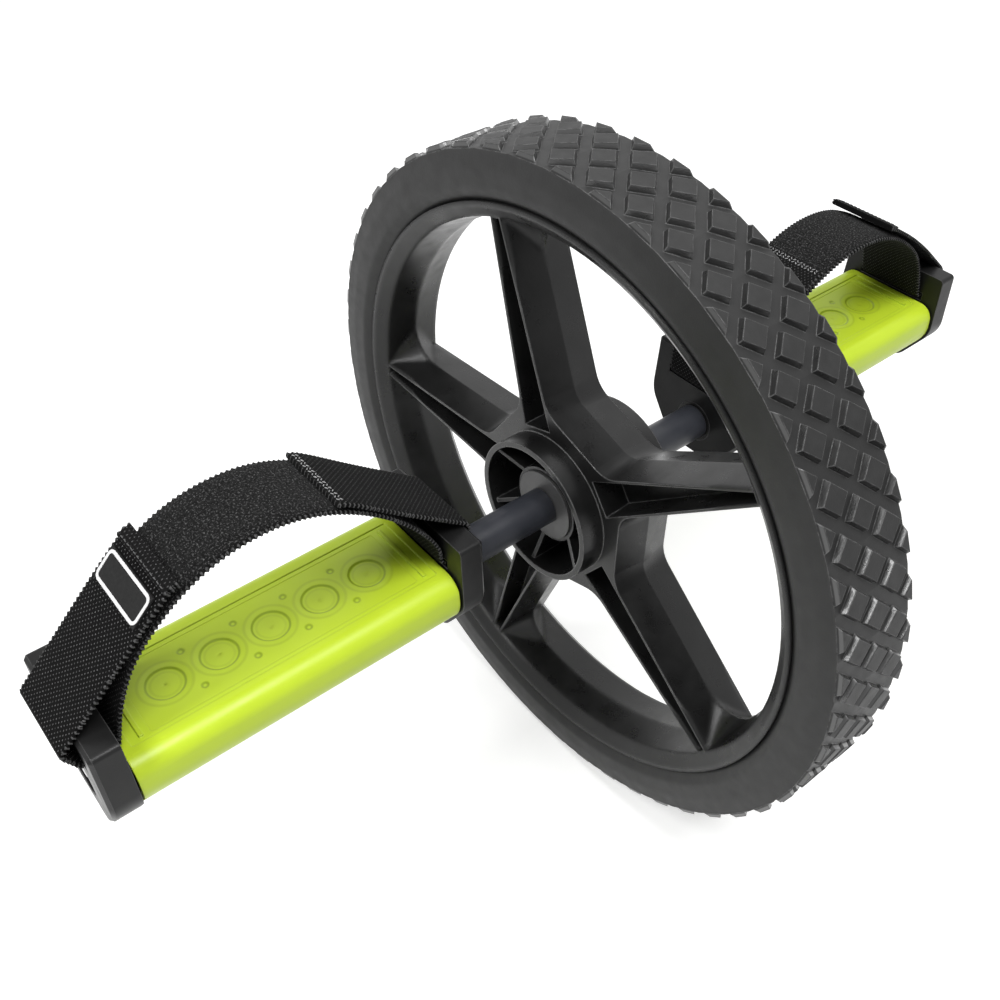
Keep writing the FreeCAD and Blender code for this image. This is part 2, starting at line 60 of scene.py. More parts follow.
SIDES = {"left": 1, "right": -1}

# Camera, fitted to the photograph
camera_place = (289.93, -286.07, 368.66)
camera_azimuth = 50.89
camera_elevation = 43.03
camera_roll = 0.36
camera_lens = 38.84

# Studio, in metres and watts; each lamp has a place, a target, a size and a power
floor_reach = 1.8
floor_glow = 0.55
world_light = 0.2
lamps = {"overhead": ((-0.8, 1.1, 2.4), (-0.4, 0.5, 0.0), 2.8, 22),
         "key": ((0.7, 0.0, 1.8), (0.0, 0.0, 0.0), 0.8, 25),
         "front": ((-0.05, -1.18, 1.6), (0.0, 0.0, 0.0), 0.65, 21)}

# Wheel, by distance from the axle: where one finish passes into the next
tyre_shoulder = (168.0, 173.0)
block_foot = (175.9, 176.3)
block_top = (177.5, 177.9)
sidewall_rounding = 5.0
block_rounding = 0.7
rim_corner_start = 112.0
rim_corner_fade = 12.0
rim_corner_growth = 3.5
# Share of the paler edge tone, wear and painted highlight, kept at the rim's corners
rim_corner_wear_and_highlight = 0.1

# Axle ends that carry a thread
thread_start = 257.0
thread_pitch = 1.75
thread_depth = 0.7

# Pedal layout along the axle, read from the solids of the left pedal
inner_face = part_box("inner_cap_left")[0].y / METRE
inner_cap_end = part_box("inner_cap_left")[1].y / METRE
outer_cap_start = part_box("outer_cap_left")[0].y / METRE
outer_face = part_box("outer_cap_left")[1].y / METRE
cap_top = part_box("inner_cap_left")[1].z / METRE
grip_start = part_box("grip_left")[0].y / METRE
grip_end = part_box("grip_left")[1].y / METRE
grip_middle = (grip_start + grip_end) / 2
slot_middle = 23.7
part_gap = 0.3

# Straps, on the same corners as their solids: shares of the gap between the caps and of the rise
strap_half_width = 20.0
strap_thick = 1.9
strap_bend = 2.4
layer_lift = 2.6
crests = {"left": 83.5, "right": 92.7}
arch_shares = ((0.014, 0.178), (0.130, 0.548), (0.290, 0.845), (0.472, 1.0),
               (0.690, 0.939), (0.880, 0.613), (0.954, 0.309))
hem_share = 0.17
flap_shares = {"left": ((0.668, 1.012), (0.705, 0.982), (0.900, 0.665)),
               "right": ((0.742, 0.912), (0.782, 0.888))}
flap_slack = 5.0
station_step = 0.46
ease_steps = 24
sharp_angle = 50

# Weave: yarn floats, raised dots set out in a lattice and painted pale as glints, and a thinner
# selvedge with teeth that carry a painted highlight
float_length = 1.5
yarn_pitch = 0.75
yarn_gap = 0.12
dot_pitch_across = 2.2
dot_pitch_along = 2.6
tooth_pitch = 2.3
tooth_depth = 0.45
selvedge_width = 1.4
selvedge_fade = (1.5, 0.9)
selvedge_share = 0.55
selvedge_rib = 0.15

# Loop mat on the arch, by shares of the arch's length, and the folded tip of the hook end
mat_shares = (0.22, 0.80)
mat_half_width = 18.2
mat_thick = 0.75
mat_columns = 18
mat_crown_share = 5 / 6
mat_edge_fall = 0.85
mat_sink = 0.05
tuft_scale = 1.3
tuft_height = 0.16
fold_length = 6.4
fold_thick = 1.0
fold_sink = 0.1

# Stitches: the hem's rows by distance from its end, the tip's row by distance from the tip
stitch_half_width = 17.5
stitch_radius = 0.24
hem_rows = (1.6, 3.1)
hem_stitch = {"length": 1.5, "gap": 0.5, "lean": 0.9}
hem_rise = 0.05
tip_row = fold_length - 1.6
tip_stitch = {"length": 1.9, "gap": 0.7, "lean": 0.1}
tip_rise = fold_thick - 0.05

# Patch on the right strap: bare, with a pale border
patch_half_width = 17.0
patch_length = 14.0
patch_thick = 0.9
patch_start = 3.0
border_width = 1.4
border_inset = 0.4
border_round = 3.0
border_steps = 6
border_rise = 0.13
border_sink = 0.12

# Grip top: rings, dots and the sunk panel that carries them
grip_rounding = 0.8
panel_half_width = 18.2
panel_half_length = 62.7
panel_level = 19.95
panel_cell = 0.5
pressed_depth = 2.0
ring_count = 5
ring_pitch = 24.1
ring_radius = 8.2
ring_slope_radius = 11.2
ring_slope_drop = 0.30
ring_step = 0.55
ring_softness = 0.55
eye_radius = 1.5
eye_drop = 0.1
dot_radius = 1.7
dot_drop = 0.34
dot_across = 10.8

# Materials: the range that noise mostly keeps to, and how a bevelled normal tells an edge
noise_range = (0.3, 0.7)
edge_turn = (0.99, 0.86)
edge_samples = 6


class Shader:
    """A node material being put together."""

    def __init__(self, name, **settings):
        self.material = bpy.data.materials.new(name)
        self.material.use_nodes = True
        self.tree = self.material.node_tree
        self.surface = self.tree.nodes["Principled BSDF"]
        self.finish(**settings)

    def finish(self, **values):
        """Feeds the surface's sockets, named with _ for a space, and gives the material."""
        for key, value in values.items():
            self.feed(self.surface.inputs[key.replace("_", " ")], value)
        return self.material

    def feed(self, socket, value):
        if isinstance(value, bpy.types.NodeSocket):
            self.tree.links.new(value, socket)
        else:
            socket.default_value = value

    def node(self, kind, inputs, **settings):
        node = self.tree.nodes.new("ShaderNode" + kind)
        for key, value in settings.items():
            setattr(node, key, value)
        for key, value in inputs.items():
            self.feed(node.inputs[key], value)
        return node

    def math(self, operation, first, second=0.0, clamp=False):
        node = self.node("Math", {0: first, 1: second}, operation=operation, use_clamp=clamp)
        return node.outputs[0]

    def times(self, first, second, clamp=False):
        return self.math("MULTIPLY", first, second, clamp)

    def span(self, value, low, high, to_low, to_high):
        """The value with the range from low to high moved to another, and held inside that."""
        inputs = {"Value": value, "From Min": low, "From Max": high,
                  "To Min": to_low, "To Max": to_high}
        return self.node("MapRange", inputs).outputs["Result"]

    def hypot(self, first, second):
        squares = self.math("ADD", self.times(first, first), self.times(second, second))
        return self.math("SQRT", squares)

    def swing(self, value, period):
        """Runs from -1 to 1 and back once each period."""
        return self.math("SINE", self.times(value, 2 * math.pi / period))

    def wave(self, value, period):
        """Runs from 0 to 1 and back once each period."""
        return self.span(self.swing(value, period), -1.0, 1.0, 0.0, 1.0)

    def place(self):
        """Coordinates fixed to the object, in millimetres."""
        source = self.node("TexCoord", {}).outputs["Object"]
        inputs = {0: source, "Scale": 1 / METRE}
        return self.node("VectorMath", inputs, operation="SCALE").outputs[0]

    def cloth_place(self):
        """Coordinates along the webbing, in millimetres: across, along."""
        return self.node("UVMap", {}, uv_map="cloth").outputs["UV"]

    def parts(self, vector):
        return self.node("SeparateXYZ", {0: vector}).outputs

    def from_axle(self, vector):
        """Distance from the axle's line."""
        axes = self.parts(vector)
        return self.hypot(axes["X"], axes["Z"])

    def from_nearest(self, value, pitch, shift):
        """Distance from the nearest of a row of places set a pitch apart."""
        steps = self.math("ADD", self.math("DIVIDE", value, pitch), shift)
        return self.times(self.math("SUBTRACT", steps, self.math("ROUND", steps)), pitch)

    def circle_line(self, across, along, radius, width):
        """1 on a circle about the origin of two coordinates, fading to 0 over a width."""
        away = self.math("SUBTRACT", self.hypot(across, along), radius)
        return self.span(self.math("ABSOLUTE", away), 0.2 * width, width, 1.0, 0.0)

    def noise(self, vector, size, detail=3.0, roughness=0.55):
        """Noise whose grains are about so many millimetres across."""
        inputs = {"Vector": vector, "Scale": 1 / size, "Detail": detail, "Roughness": roughness}
        return self.node("TexNoise", inputs).outputs["Fac"]

    def uneven(self, vector, size, low, high, detail=3.0):
        """Noise stretched to run from a low value to a high one."""
        return self.span(self.noise(vector, size, detail), *noise_range, low, high)

    def mix(self, factor, first, second):
        node = self.node("Mix", {0: factor, 6: first, 7: second}, data_type="RGBA")
        return node.outputs[2]

    def bump(self, height, depth, normal=None):
        """Normal from a height of 0 to 1 that stands for a depth in millimetres."""
        inputs = {"Height": height, "Distance": depth * METRE, "Strength": 1.0}
        if normal:
            inputs["Normal"] = normal
        return self.node("Bump", inputs).outputs["Normal"]

    def soft_edges(self, radius):
        """Normal that rounds edges to a radius in metres, and a mask that is 1 on them."""
        rounded = self.node("Bevel", {"Radius": radius}, samples=edge_samples).outputs["Normal"]
        flat = self.node("NewGeometry", {}).outputs["Normal"]
        turn = self.node("VectorMath", {0: rounded, 1: flat}, operation="DOT_PRODUCT")
        return rounded, self.span(turn.outputs["Value"], *edge_turn, 0.0, 1.0)


def grey(value):
    return (value, value, value, 1.0)


def plastic(name, dark, light, edge, gloss, roughness, grain_size, grain_depth, edge_radius,
            soft_from=None):
    """Moulded plastic: uneven tone, fine grain and paler rounded edges, partly wear and partly a
    painted highlight.

    Farther from the axle than soft_from, where it is given, edges are rounder and not paler.
    """
    shader = Shader(name, Specular_IOR_Level=gloss)
    place = shader.place()
    rounding = edge_radius * METRE
    kept = 1.0
    if soft_from:
        out = shader.from_axle(place)
        fade = (soft_from, soft_from + rim_corner_fade)
        rounding = shader.span(out, *fade, rounding, rim_corner_growth * rounding)
        kept = shader.span(out, *fade, 1.0, rim_corner_wear_and_highlight)
    rounded, edges = shader.soft_edges(rounding)
    edges = shader.times(edges, kept)
    patches = shader.span(shader.noise(place, 28.0, detail=5.0), 0.35, 0.65, 0.0, 1.0)
    tone = shader.mix(patches, dark, light)
    # Paler tone on the edges: partly wear, partly a painted highlight along them.
    scuff_and_highlight = shader.times(edges, shader.uneven(place, 6.0, 0.35, 1.0))
    tone = shader.mix(scuff_and_highlight, tone, edge)
    rough = shader.uneven(place, 11.0, roughness - 0.06, roughness + 0.08, detail=4.0)
    grain = shader.bump(shader.noise(place, grain_size, detail=2.0), grain_depth, rounded)
    return shader.finish(Base_Color=tone, Roughness=rough, Normal=grain)


def tyre_rubber():
    """Black rubber: worn matt on the block tops, glossy on their walls, rubbed on their edges."""
    shader = Shader("tyre_rubber")
    place = shader.place()
    out = shader.from_axle(place)
    rounding = shader.span(out, *tyre_shoulder, sidewall_rounding * METRE, block_rounding * METRE)
    rounded, edges = shader.soft_edges(rounding)
    edges = shader.times(edges, shader.span(out, *tyre_shoulder, 0.0, 1.0))
    wall = shader.span(out, *block_foot, 0.0, 1.0)
    tread = shader.span(out, *block_top, 0.0, 1.0)
    floor = shader.mix(shader.noise(place, 9.0), grey(0.014), grey(0.024))
    top = shader.mix(shader.noise(place, 5.0, detail=6.0), grey(0.008), grey(0.026))
    tone = shader.mix(tread, floor, top)
    wear = shader.span(shader.noise(place, 3.0), 0.35, 0.6, 0.15, 0.9)
    tone = shader.mix(shader.times(edges, wear), tone, grey(0.15))
    glossy = shader.math("SUBTRACT", wall, tread, clamp=True)
    uneven = shader.uneven(place, 7.0, -0.05, 0.05, detail=5.0)
    rough = shader.math("ADD", shader.span(glossy, 0.0, 1.0, 0.50, 0.30), uneven)
    gloss = shader.span(glossy, 0.0, 1.0, 0.28, 0.95)
    grain = shader.bump(shader.noise(place, 0.8, detail=2.0), 0.06, rounded)
    return shader.finish(Base_Color=tone, Roughness=rough, Specular_IOR_Level=gloss, Normal=grain)


def grip_rubber():
    """Lime rubber with a soft gloss, faint clouding, a very fine grain, and painted shade in the
    lines of the rings and dots on top.
    """
    shader = Shader("grip_rubber", Subsurface_Weight=0.05, Subsurface_Radius=(0.003, 0.003, 0.001),
                    Specular_IOR_Level=0.35)
    place = shader.place()
    axes = shader.parts(place)
    rounded, edges = shader.soft_edges(grip_rounding * METRE)
    along = shader.math("SUBTRACT", shader.math("ABSOLUTE", axes["Y"]), grip_middle)
    away = shader.math("ABSOLUTE", along)
    upper = shader.math("GREATER_THAN", axes["Z"], panel_level - pressed_depth)
    near_ring = shader.from_nearest(along, ring_pitch, 0.0)
    rings = shader.circle_line(axes["X"], near_ring, ring_radius - 0.2, 0.75)
    for radius, width, share in ((ring_radius - 2.0, 0.9, 0.25), (ring_slope_radius, 1.0, 0.35)):
        faint = shader.times(shader.circle_line(axes["X"], near_ring, radius, width), share)
        rings = shader.math("ADD", rings, faint)
    rings = shader.times(rings, shader.math("LESS_THAN", away, ring_pitch * ring_count / 2))
    near_dot = shader.from_nearest(along, ring_pitch, 0.5)
    beside = shader.math("SUBTRACT", shader.math("ABSOLUTE", axes["X"]), dot_across)
    dots = shader.circle_line(beside, near_dot, dot_radius - 0.5, 0.8)
    dots = shader.times(dots, shader.math("LESS_THAN", away, ring_pitch * (ring_count - 1) / 2))
    painted_groove_shade = shader.times(shader.math("MAXIMUM", rings, dots), upper, clamp=True)
    cloud = shader.noise(place, 24.0, detail=4.0)
    tone = shader.mix(cloud, (0.55, 0.73, 0.030, 1.0), (0.61, 0.79, 0.040, 1.0))
    tone = shader.mix(shader.times(edges, 0.25), tone, (0.72, 0.86, 0.10, 1.0))
    # Darker green in the ring and dot lines on top: painted shade in their grooves.
    tone = shader.mix(shader.times(painted_groove_shade, 0.6), tone, (0.21, 0.32, 0.012, 1.0))
    rough = shader.uneven(place, 8.0, 0.30, 0.40)
    grain = shader.bump(shader.noise(place, 0.7, detail=2.0), 0.025, rounded)
    return shader.finish(Base_Color=tone, Roughness=rough, Normal=grain)


def brushed_steel():
    """Zinc-plated steel with turning marks along the axle and a thread on its thin ends."""
    shader = Shader("steel", Metallic=1.0)
    place = shader.place()
    along = shader.parts(place)["Y"]
    lengthwise = shader.node("CombineXYZ", {"X": 0.0, "Y": along, "Z": 0.0}).outputs[0]
    marks = shader.noise(lengthwise, 0.35)
    tone = shader.mix(shader.noise(place, 9.0), grey(0.42), grey(0.58))
    ends = shader.math("GREATER_THAN", shader.math("ABSOLUTE", along), thread_start)
    thread = shader.times(shader.wave(along, thread_pitch), ends)
    rough = shader.span(marks, *noise_range, 0.24, 0.42)
    turned = shader.bump(thread, thread_depth, shader.bump(marks, 0.02))
    return shader.finish(Base_Color=tone, Roughness=rough, Normal=turned)


def webbing(name, yarn_dark, yarn_light, dots):
    """Woven webbing: staggered yarn floats with dark gaps, and a share of raised dots painted pale
    as glints.
    """
    shader = Shader(name, Roughness=0.85, Specular_IOR_Level=0.1)
    place = shader.cloth_place()
    axes = shader.parts(place)
    inputs = {"Vector": place, "Scale": 1.0, "Color1": grey(1.0), "Color2": grey(0.55),
              "Mortar": grey(0.0), "Mortar Size": yarn_gap, "Mortar Smooth": 0.9,
              "Brick Width": float_length, "Row Height": yarn_pitch}
    floats = shader.node("TexBrick", inputs, offset=0.5).outputs["Color"]
    worn = shader.times(floats, shader.uneven(place, 0.25, 0.6, 1.0, detail=2.0))
    tone = shader.mix(worn, yarn_dark, yarn_light)
    lattice = shader.times(shader.swing(axes["X"], dot_pitch_across),
                           shader.swing(axes["Y"], dot_pitch_along))
    raised_dot_glint = shader.times(shader.span(lattice, 0.62, 0.80, 0.0, 1.0),
                       shader.span(shader.noise(place, 1.7), 0.35, 0.6, 0.25, 1.0))
    raised_dot_glint = shader.times(raised_dot_glint, dots)
    # Pale grey on the dots: a painted glint.
    tone = shader.mix(raised_dot_glint, tone, grey(0.32))
    fade = [strap_half_width - width for width in selvedge_fade]
    selvedge = shader.span(shader.math("ABSOLUTE", axes["X"]), *fade, 0.0, 1.0)
    # Pale beads along the selvedge teeth: a painted highlight.
    painted_tooth_highlight = shader.span(shader.wave(axes["Y"], tooth_pitch), 0.62, 0.92, 0.0, 0.8)
    tone = shader.mix(shader.times(selvedge, painted_tooth_highlight), tone, grey(0.11))
    raised = shader.math("ADD", floats, raised_dot_glint)
    return shader.finish(Base_Color=tone, Normal=shader.bump(raised, 0.32))


def loop_fuzz():
    """Brushed loop face: matted fibres with fine pale specks."""
    shader = Shader("loop_fuzz", Roughness=0.95, Specular_IOR_Level=0.1, Sheen_Weight=0.03,
                    Sheen_Roughness=0.5)
    place = shader.cloth_place()
    tufts = shader.noise(place, 2.4, detail=5.0, roughness=0.75)
    specks = shader.noise(place, 0.85, detail=3.0, roughness=0.7)
    tone = shader.mix(shader.span(tufts, 0.35, 0.7, 0.0, 1.0), grey(0.002), grey(0.013))
    tone = shader.mix(shader.span(specks, 0.54, 0.72, 0.0, 0.8), tone, grey(0.19))
    height = shader.math("ADD", tufts, shader.times(specks, 0.6))
    return shader.finish(Base_Color=tone, Normal=shader.bump(height, 0.8))


def sewing_thread(name, dark, light):
    """Twisted thread with a slight sheen."""
    shader = Shader(name, Roughness=0.6, Sheen_Weight=0.2)
    place = shader.place()
    twist = shader.wave(shader.parts(place)["X"], 0.5)
    tone = shader.mix(shader.times(twist, shader.noise(place, 0.6)), dark, light)
    return shader.finish(Base_Color=tone, Normal=shader.bump(twist, 0.08))


def patch_face(name, dark, light, roughness):
    """Moulded patch rubber with a fine cloth-like grain."""
    shader = Shader(name, Roughness=roughness, Specular_IOR_Level=0.12)
    place = shader.place()
    tone = shader.mix(shader.noise(place, 1.6, detail=4.0), dark, light)
    return shader.finish(Base_Color=tone, Normal=shader.bump(shader.noise(place, 0.5), 0.07))


def seen_directly(tree):
    """1 for what is seen, also in a mirror or through glass, and 0 for the light on things."""
    path = tree.nodes.new("ShaderNodeLightPath")
    total = path.outputs["Is Camera Ray"]
    for name in ("Is Glossy Ray", "Is Transmission Ray"):
        either = tree.nodes.new("ShaderNodeMath")
        either.operation = "MAXIMUM"
        tree.links.new(total, either.inputs[0])
        tree.links.new(path.outputs[name], either.inputs[1])
        total = either.outputs[0]
    return total


def floor_paper():
    """Pale studio paper with a fine tooth, whiter where it is seen than in the light it gives."""
    shader = Shader("floor_paper", Roughness=0.9, Specular_IOR_Level=0.1, Emission_Color=grey(1.0))
    place = shader.place()
    tone = shader.mix(shader.noise(place, 60.0), grey(0.70), grey(0.73))
    white = shader.times(seen_directly(shader.tree), floor_glow)
    tooth = shader.bump(shader.noise(place, 1.5), 0.02)
    return shader.finish(Base_Color=tone, Emission_Strength=white, Normal=tooth)


def new_piece(name, vertices, faces, material, body, smooth=True):
    """Mesh object from points in millimetres, riding on a body and taking a slot's finish."""
    mesh = bpy.data.meshes.new(name)
    mesh.from_pydata([Vector(point) * METRE for point in vertices], [], faces)
    mesh.materials.append(material)
    mesh.polygons.foreach_set("use_smooth", [smooth] * len(mesh.polygons))
    mesh.update()
    piece = bpy.data.objects.new(name, mesh)
    bpy.context.scene.collection.objects.link(piece)
    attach(piece, body)
    return piece


def unit(a, b):
    size = math.hypot(a, b)
    return a / size, b / size


def between(first, second, share):
    """Point at a share of the way from one (along, up) point to another."""
    return (first[0] + (second[0] - first[0]) * share, first[1] + (second[1] - first[1]) * share)


def eased(corners):
    """Points along (along, up, bend) corners, each corner eased by a parabola.

    A bend of zero eases a corner over half of each run beside it.
    """
    points = [corners[0][:2]]
    for before, corner, after in zip(corners, corners[1:], corners[2:]):
        a, b, bend = corner
        ua, ub = unit(a - before[0], b - before[1])
        va, vb = unit(after[0] - a, after[1] - b)
        back = math.dist(corner[:2], before[:2]) / 2
        ahead = math.dist(corner[:2], after[:2]) / 2
        if bend:
            turn = math.acos(max(-1.0, min(1.0, ua * va + ub * vb)))
            back = ahead = bend * math.tan(turn / 2)
        start = (a - ua * back, b - ub * back)
        end = (a + va * ahead, b + vb * ahead)
        for count in range(ease_steps + 1):
            t = count / ease_steps
            points.append(between(between(start, (a, b), t), between((a, b), end, t), t))
    points.append(corners[-1][:2])
    return points


def smooth_line(corners):
    """Evenly spaced points, about a station step apart, along eased corners."""
    dense = eased(corners)
    lengths = [0.0]
    for first, second in zip(dense, dense[1:]):
        lengths.append(lengths[-1] + math.dist(first, second))
    count = max(2, round(lengths[-1] / station_step))
    line = []
    index = 0
    for number in range(count + 1):
        target = lengths[-1] * number / count
        while index < len(lengths) - 2 and lengths[index + 1] < target:
            index += 1
        run = lengths[index + 1] - lengths[index]
        share = (target - lengths[index]) / run if run else 0.0
        line.append(between(dense[index], dense[index + 1], share))
    return line


def left_of(line, index):
    """Unit normal to the left of travel at one point of a line."""
    first = line[max(0, index - 1)]
    second = line[min(len(line) - 1, index + 1)]
    da, db = unit(second[0] - first[0], second[1] - first[1])
    return -db, da


def length_of(line):
    return sum(math.dist(first, second) for first, second in zip(line, line[1:]))


def strip_piece(name, line, side, section, material, body):
    """Closed strip along a line; section gives (across, lift) round it at each distance along.

    The side is 1 or -1, and as the step of a slice it turns the faces over on the mirrored side.
    """
    vertices = []
    cloth = []
    travelled = 0.0
    for index, (along, up) in enumerate(line):
        if index:
            travelled += math.dist(line[index - 1], line[index])
        na, nb = left_of(line, index)
        for across, lift in section(travelled):
            vertices.append((across, side * (along + na * lift), up + nb * lift))
            cloth.append((across, travelled))
    ring = len(section(0.0))
    faces = []
    for index in range(len(line) - 1):
        for corner in range(ring):
            after = (corner + 1) % ring
            low, high = index * ring, (index + 1) * ring
            faces.append([low + corner, low + after, high + after, high + corner][::side])
    last = (len(line) - 1) * ring
    faces.append(list(range(ring))[::-side])
    faces.append(list(range(last, last + ring))[::side])
    piece = new_piece(name, vertices, faces, material, body)
    layer = piece.data.uv_layers.new(name="cloth")
    for loop in piece.data.loops:
        layer.data[loop.index].uv = cloth[loop.vertex_index]
    piece.data.set_sharp_from_angle(angle=math.radians(sharp_angle))
    return piece


def toothed(thick, lift=0.0):
    """Section of woven webbing whose selvedge runs in small teeth."""
    def section(travelled):
        swing = math.sin(2 * math.pi * travelled / tooth_pitch)
        edge = strap_half_width + tooth_depth * (swing - 1)
        inner = strap_half_width - selvedge_width
        half = thick / 2
        thin = half * (selvedge_share + selvedge_rib * swing)
        right = [(edge, -thin), (edge, thin), (inner, half), (inner / 2, half), (0, half)]
        left = [(-inner / 2, half), (-inner, half), (-edge, thin), (-edge, -thin)]
        bottom = [(-inner, -half), (0, -half), (inner, -half)]
        return [(across, up + lift) for across, up in right + left + bottom]
    return section


def matted(lift):
    """Section of the loop mat: low and crowned, with a ragged top that dies out at its edges."""
    def section(travelled):
        points = []
        for number in range(mat_columns + 1):
            share = 1 - 2 * number / mat_columns
            across = mat_half_width * share
            fall = max(0.0, (abs(share) - mat_crown_share) / (1 - mat_crown_share))
            tuft = noise.noise(Vector((across, travelled, 0.0)) * tuft_scale)
            rise = mat_thick * (1 - mat_edge_fall * fall) + tuft * tuft_height * (1 - fall)
            points.append((across, lift + rise))
        points.append((-mat_half_width, lift - mat_sink))
        points.append((mat_half_width, lift - mat_sink))
        return points
    return section


def arch_point(shares, crest):
    """Corner over the grip from shares of the gap between the caps and of the rise."""
    along = inner_cap_end + (outer_cap_start - inner_cap_end) * shares[0]
    return along, slot_middle + (crest - slot_middle) * shares[1], 0


def arch_corners(crest):
    """Corners of the webbing from slot to slot over the grip."""
    stand_off = strap_thick / 2 + part_gap
    corners = [(inner_face + strap_bend, slot_middle, 0)]
    corners.append((inner_cap_end + stand_off, slot_middle, strap_bend))
    corners += [arch_point(shares, crest) for shares in arch_shares]
    corners.append((outer_cap_start - stand_off, slot_middle, strap_bend))
    corners.append((outer_face - strap_bend, slot_middle, 0))
    return corners


def lifted(corners, index):
    """Corner of a layer that lies on the webbing, beside one of the webbing's corners."""
    before, corner, after = corners[index - 1:index + 2]
    ua, ub = unit(corner[0] - before[0], corner[1] - before[1])
    va, vb = unit(after[0] - corner[0], after[1] - corner[1])
    reach = layer_lift / (1 + ua * va + ub * vb)
    return corner[0] - (ub + vb) * reach, corner[1] + (ua + va) * reach, 0


def return_corners(crest):
    """Corners of the sewn end: out of the inner slot, round the bar and back to its hem."""
    arch = arch_corners(crest)
    outside = inner_face - strap_thick / 2 - part_gap
    corners = [(inner_face + strap_bend, slot_middle, 0), (outside, slot_middle, strap_bend)]
    corners.append((outside, cap_top, strap_bend))
    corners.append(lifted(arch, 3))
    corners.append(lifted(arch, 4))
    corners.append((*between(corners[-1], lifted(arch, 5), hem_share), 0))
    return corners


def flap_corners(side_name):
    """Corners of the hook end: from its tip down past the bar, then into the outer slot."""
    outside = outer_face + strap_thick / 2 + part_gap
    corners = [arch_point(shares, crests[side_name]) for shares in flap_shares[side_name]]
    slope = (cap_top - corners[-1][1]) / (outside - corners[-1][0])
    corners.append((outside + flap_slack, cap_top + slope * flap_slack, strap_bend))
    corners.append((outside, slot_middle, strap_bend))
    corners.append((outer_face - strap_bend, slot_middle, 0))
    return corners


def point_on(line, distance):
    """(along, up, travel along, travel up) at a distance along a line."""
    travelled = 0.0
    for first, second in zip(line, line[1:]):
        run = math.dist(first, second)
        if travelled + run >= distance:
            da, db = unit(second[0] - first[0], second[1] - first[1])
            rest = distance - travelled
            return first[0] + da * rest, first[1] + db * rest, da, db
        travelled += run
    raise ValueError("the line ends before that distance")


def capsule(centre, axis, across, up, half_length):
    """Vertices and faces of a small rounded stitch."""
    sides = 6
    rings = ((-1.0, 0.35), (-0.7, 0.9), (0.0, 1.0), (0.7, 0.9), (1.0, 0.35))
    vertices = []
    for place, swell in rings:
        radius = stitch_radius * swell
        for number in range(sides):
            angle = 2 * math.pi * number / sides
            offset = across * (math.cos(angle) * radius) + up * (math.sin(angle) * radius)
            vertices.append(centre + axis * (half_length * place) + offset)
    faces = []
    for ring in range(len(rings) - 1):
        low, high = ring * sides, (ring + 1) * sides
        for number in range(sides):
            after = (number + 1) % sides
            faces.append([low + number, low + after, high + after, high + number])
    faces.append(list(range(sides))[::-1])
    faces.append(list(range((len(rings) - 1) * sides, len(rings) * sides)))
    return vertices, faces


def stitch_row(name, line, distance, side, lift, material, body, length, gap, lean):
    """One row of stitches across the webbing, leaning to and fro along it."""
    along, up, da, db = point_on(line, distance)
    travel = Vector((0, side * da, db))
    normal = Vector((0, -side * db, da))
    across = Vector((1, 0, 0))
    middle = Vector((0, side * along, up)) + normal * lift
    vertices = []
    faces = []
    count = int(2 * stitch_half_width / (length + gap))
    for number in range(count):
        place = -stitch_half_width + (number + 0.5) * 2 * stitch_half_width / count
        direction = (across + travel * (lean if number % 2 else -lean)).normalized()
        points, quads = capsule(middle + across * place, direction, normal.cross(direction), normal,
                                length / 2)
        faces.extend([[corner + len(vertices) for corner in quad] for quad in quads])
        vertices.extend(points)
    return new_piece(name, vertices, faces, material, body)


def rounded_outline(inset, radius):
    """Points round the patch, an inset inside its outline, with round corners."""
    half_a = patch_half_width - inset
    half_b = patch_length / 2 - inset
    points = []
    for number, (a, b) in enumerate(((1, 1), (-1, 1), (-1, -1), (1, -1))):
        for count in range(border_steps + 1):
            angle = math.pi / 2 * (number + count / border_steps)
            points.append((a * (half_a - radius) + radius * math.cos(angle),
                           b * (half_b - radius) + radius * math.sin(angle)))
    return points


def patch_border(side_name, material):
    """Pale rim of the patch on the hook end's straight run: a low ring with round corners."""
    side = SIDES[side_name]
    run_start, run_end = flap_corners(side_name)[1:3]
    ta, tb = unit(run_end[0] - run_start[0], run_end[1] - run_start[1])
    normal = Vector((0, -side * tb, ta))
    down = Vector((0, side * ta, tb))
    across = Vector((1, 0, 0))
    middle = Vector((0, side * run_start[0], run_start[1]))
    middle += down * (patch_start + patch_length / 2) + normal * (strap_thick / 2 + patch_thick)
    outer = rounded_outline(border_inset, border_round)
    inner = rounded_outline(border_inset + border_width, border_round - border_width)
    rows = ((outer, -border_sink), (outer, border_rise),
            (inner, border_rise), (inner, -border_sink))
    vertices = []
    for outline, rise in rows:
        vertices += [middle + across * a + down * b + normal * rise for a, b in outline]
    count = len(outer)
    faces = []
    for row in range(len(rows)):
        low, high = row * count, (row + 1) % len(rows) * count
        for number in range(count):
            after = (number + 1) % count
            faces.append([low + number, low + after, high + after, high + number])
    new_piece("patch_border", vertices, faces, material, "pedal_" + side_name,
              smooth=False)


def inside(radius, outer, width):
    """0 outside a circle, rising to 1 over a width inside it."""
    return min(1.0, max(0.0, (outer - radius) / width))


def grip_level(across, along):
    """Height of the ringed panel at a point, measured from the panel's middle."""
    level = panel_level
    slope_width = ring_slope_radius - ring_radius
    for number in range(ring_count):
        centre = ring_pitch * (number - (ring_count - 1) / 2)
        radius = math.hypot(across, along - centre)
        level -= ring_slope_drop * inside(radius, ring_slope_radius, slope_width)
        level -= ring_step * inside(radius, ring_radius, ring_softness)
        level -= eye_drop * inside(radius, eye_radius, ring_softness)
    for number in range(ring_count - 1):
        centre = ring_pitch * (number - (ring_count - 2) / 2)
        for place in (-dot_across, dot_across):
            radius = math.hypot(across - place, along - centre)
            level -= dot_drop * inside(radius, dot_radius, ring_softness)
    return level


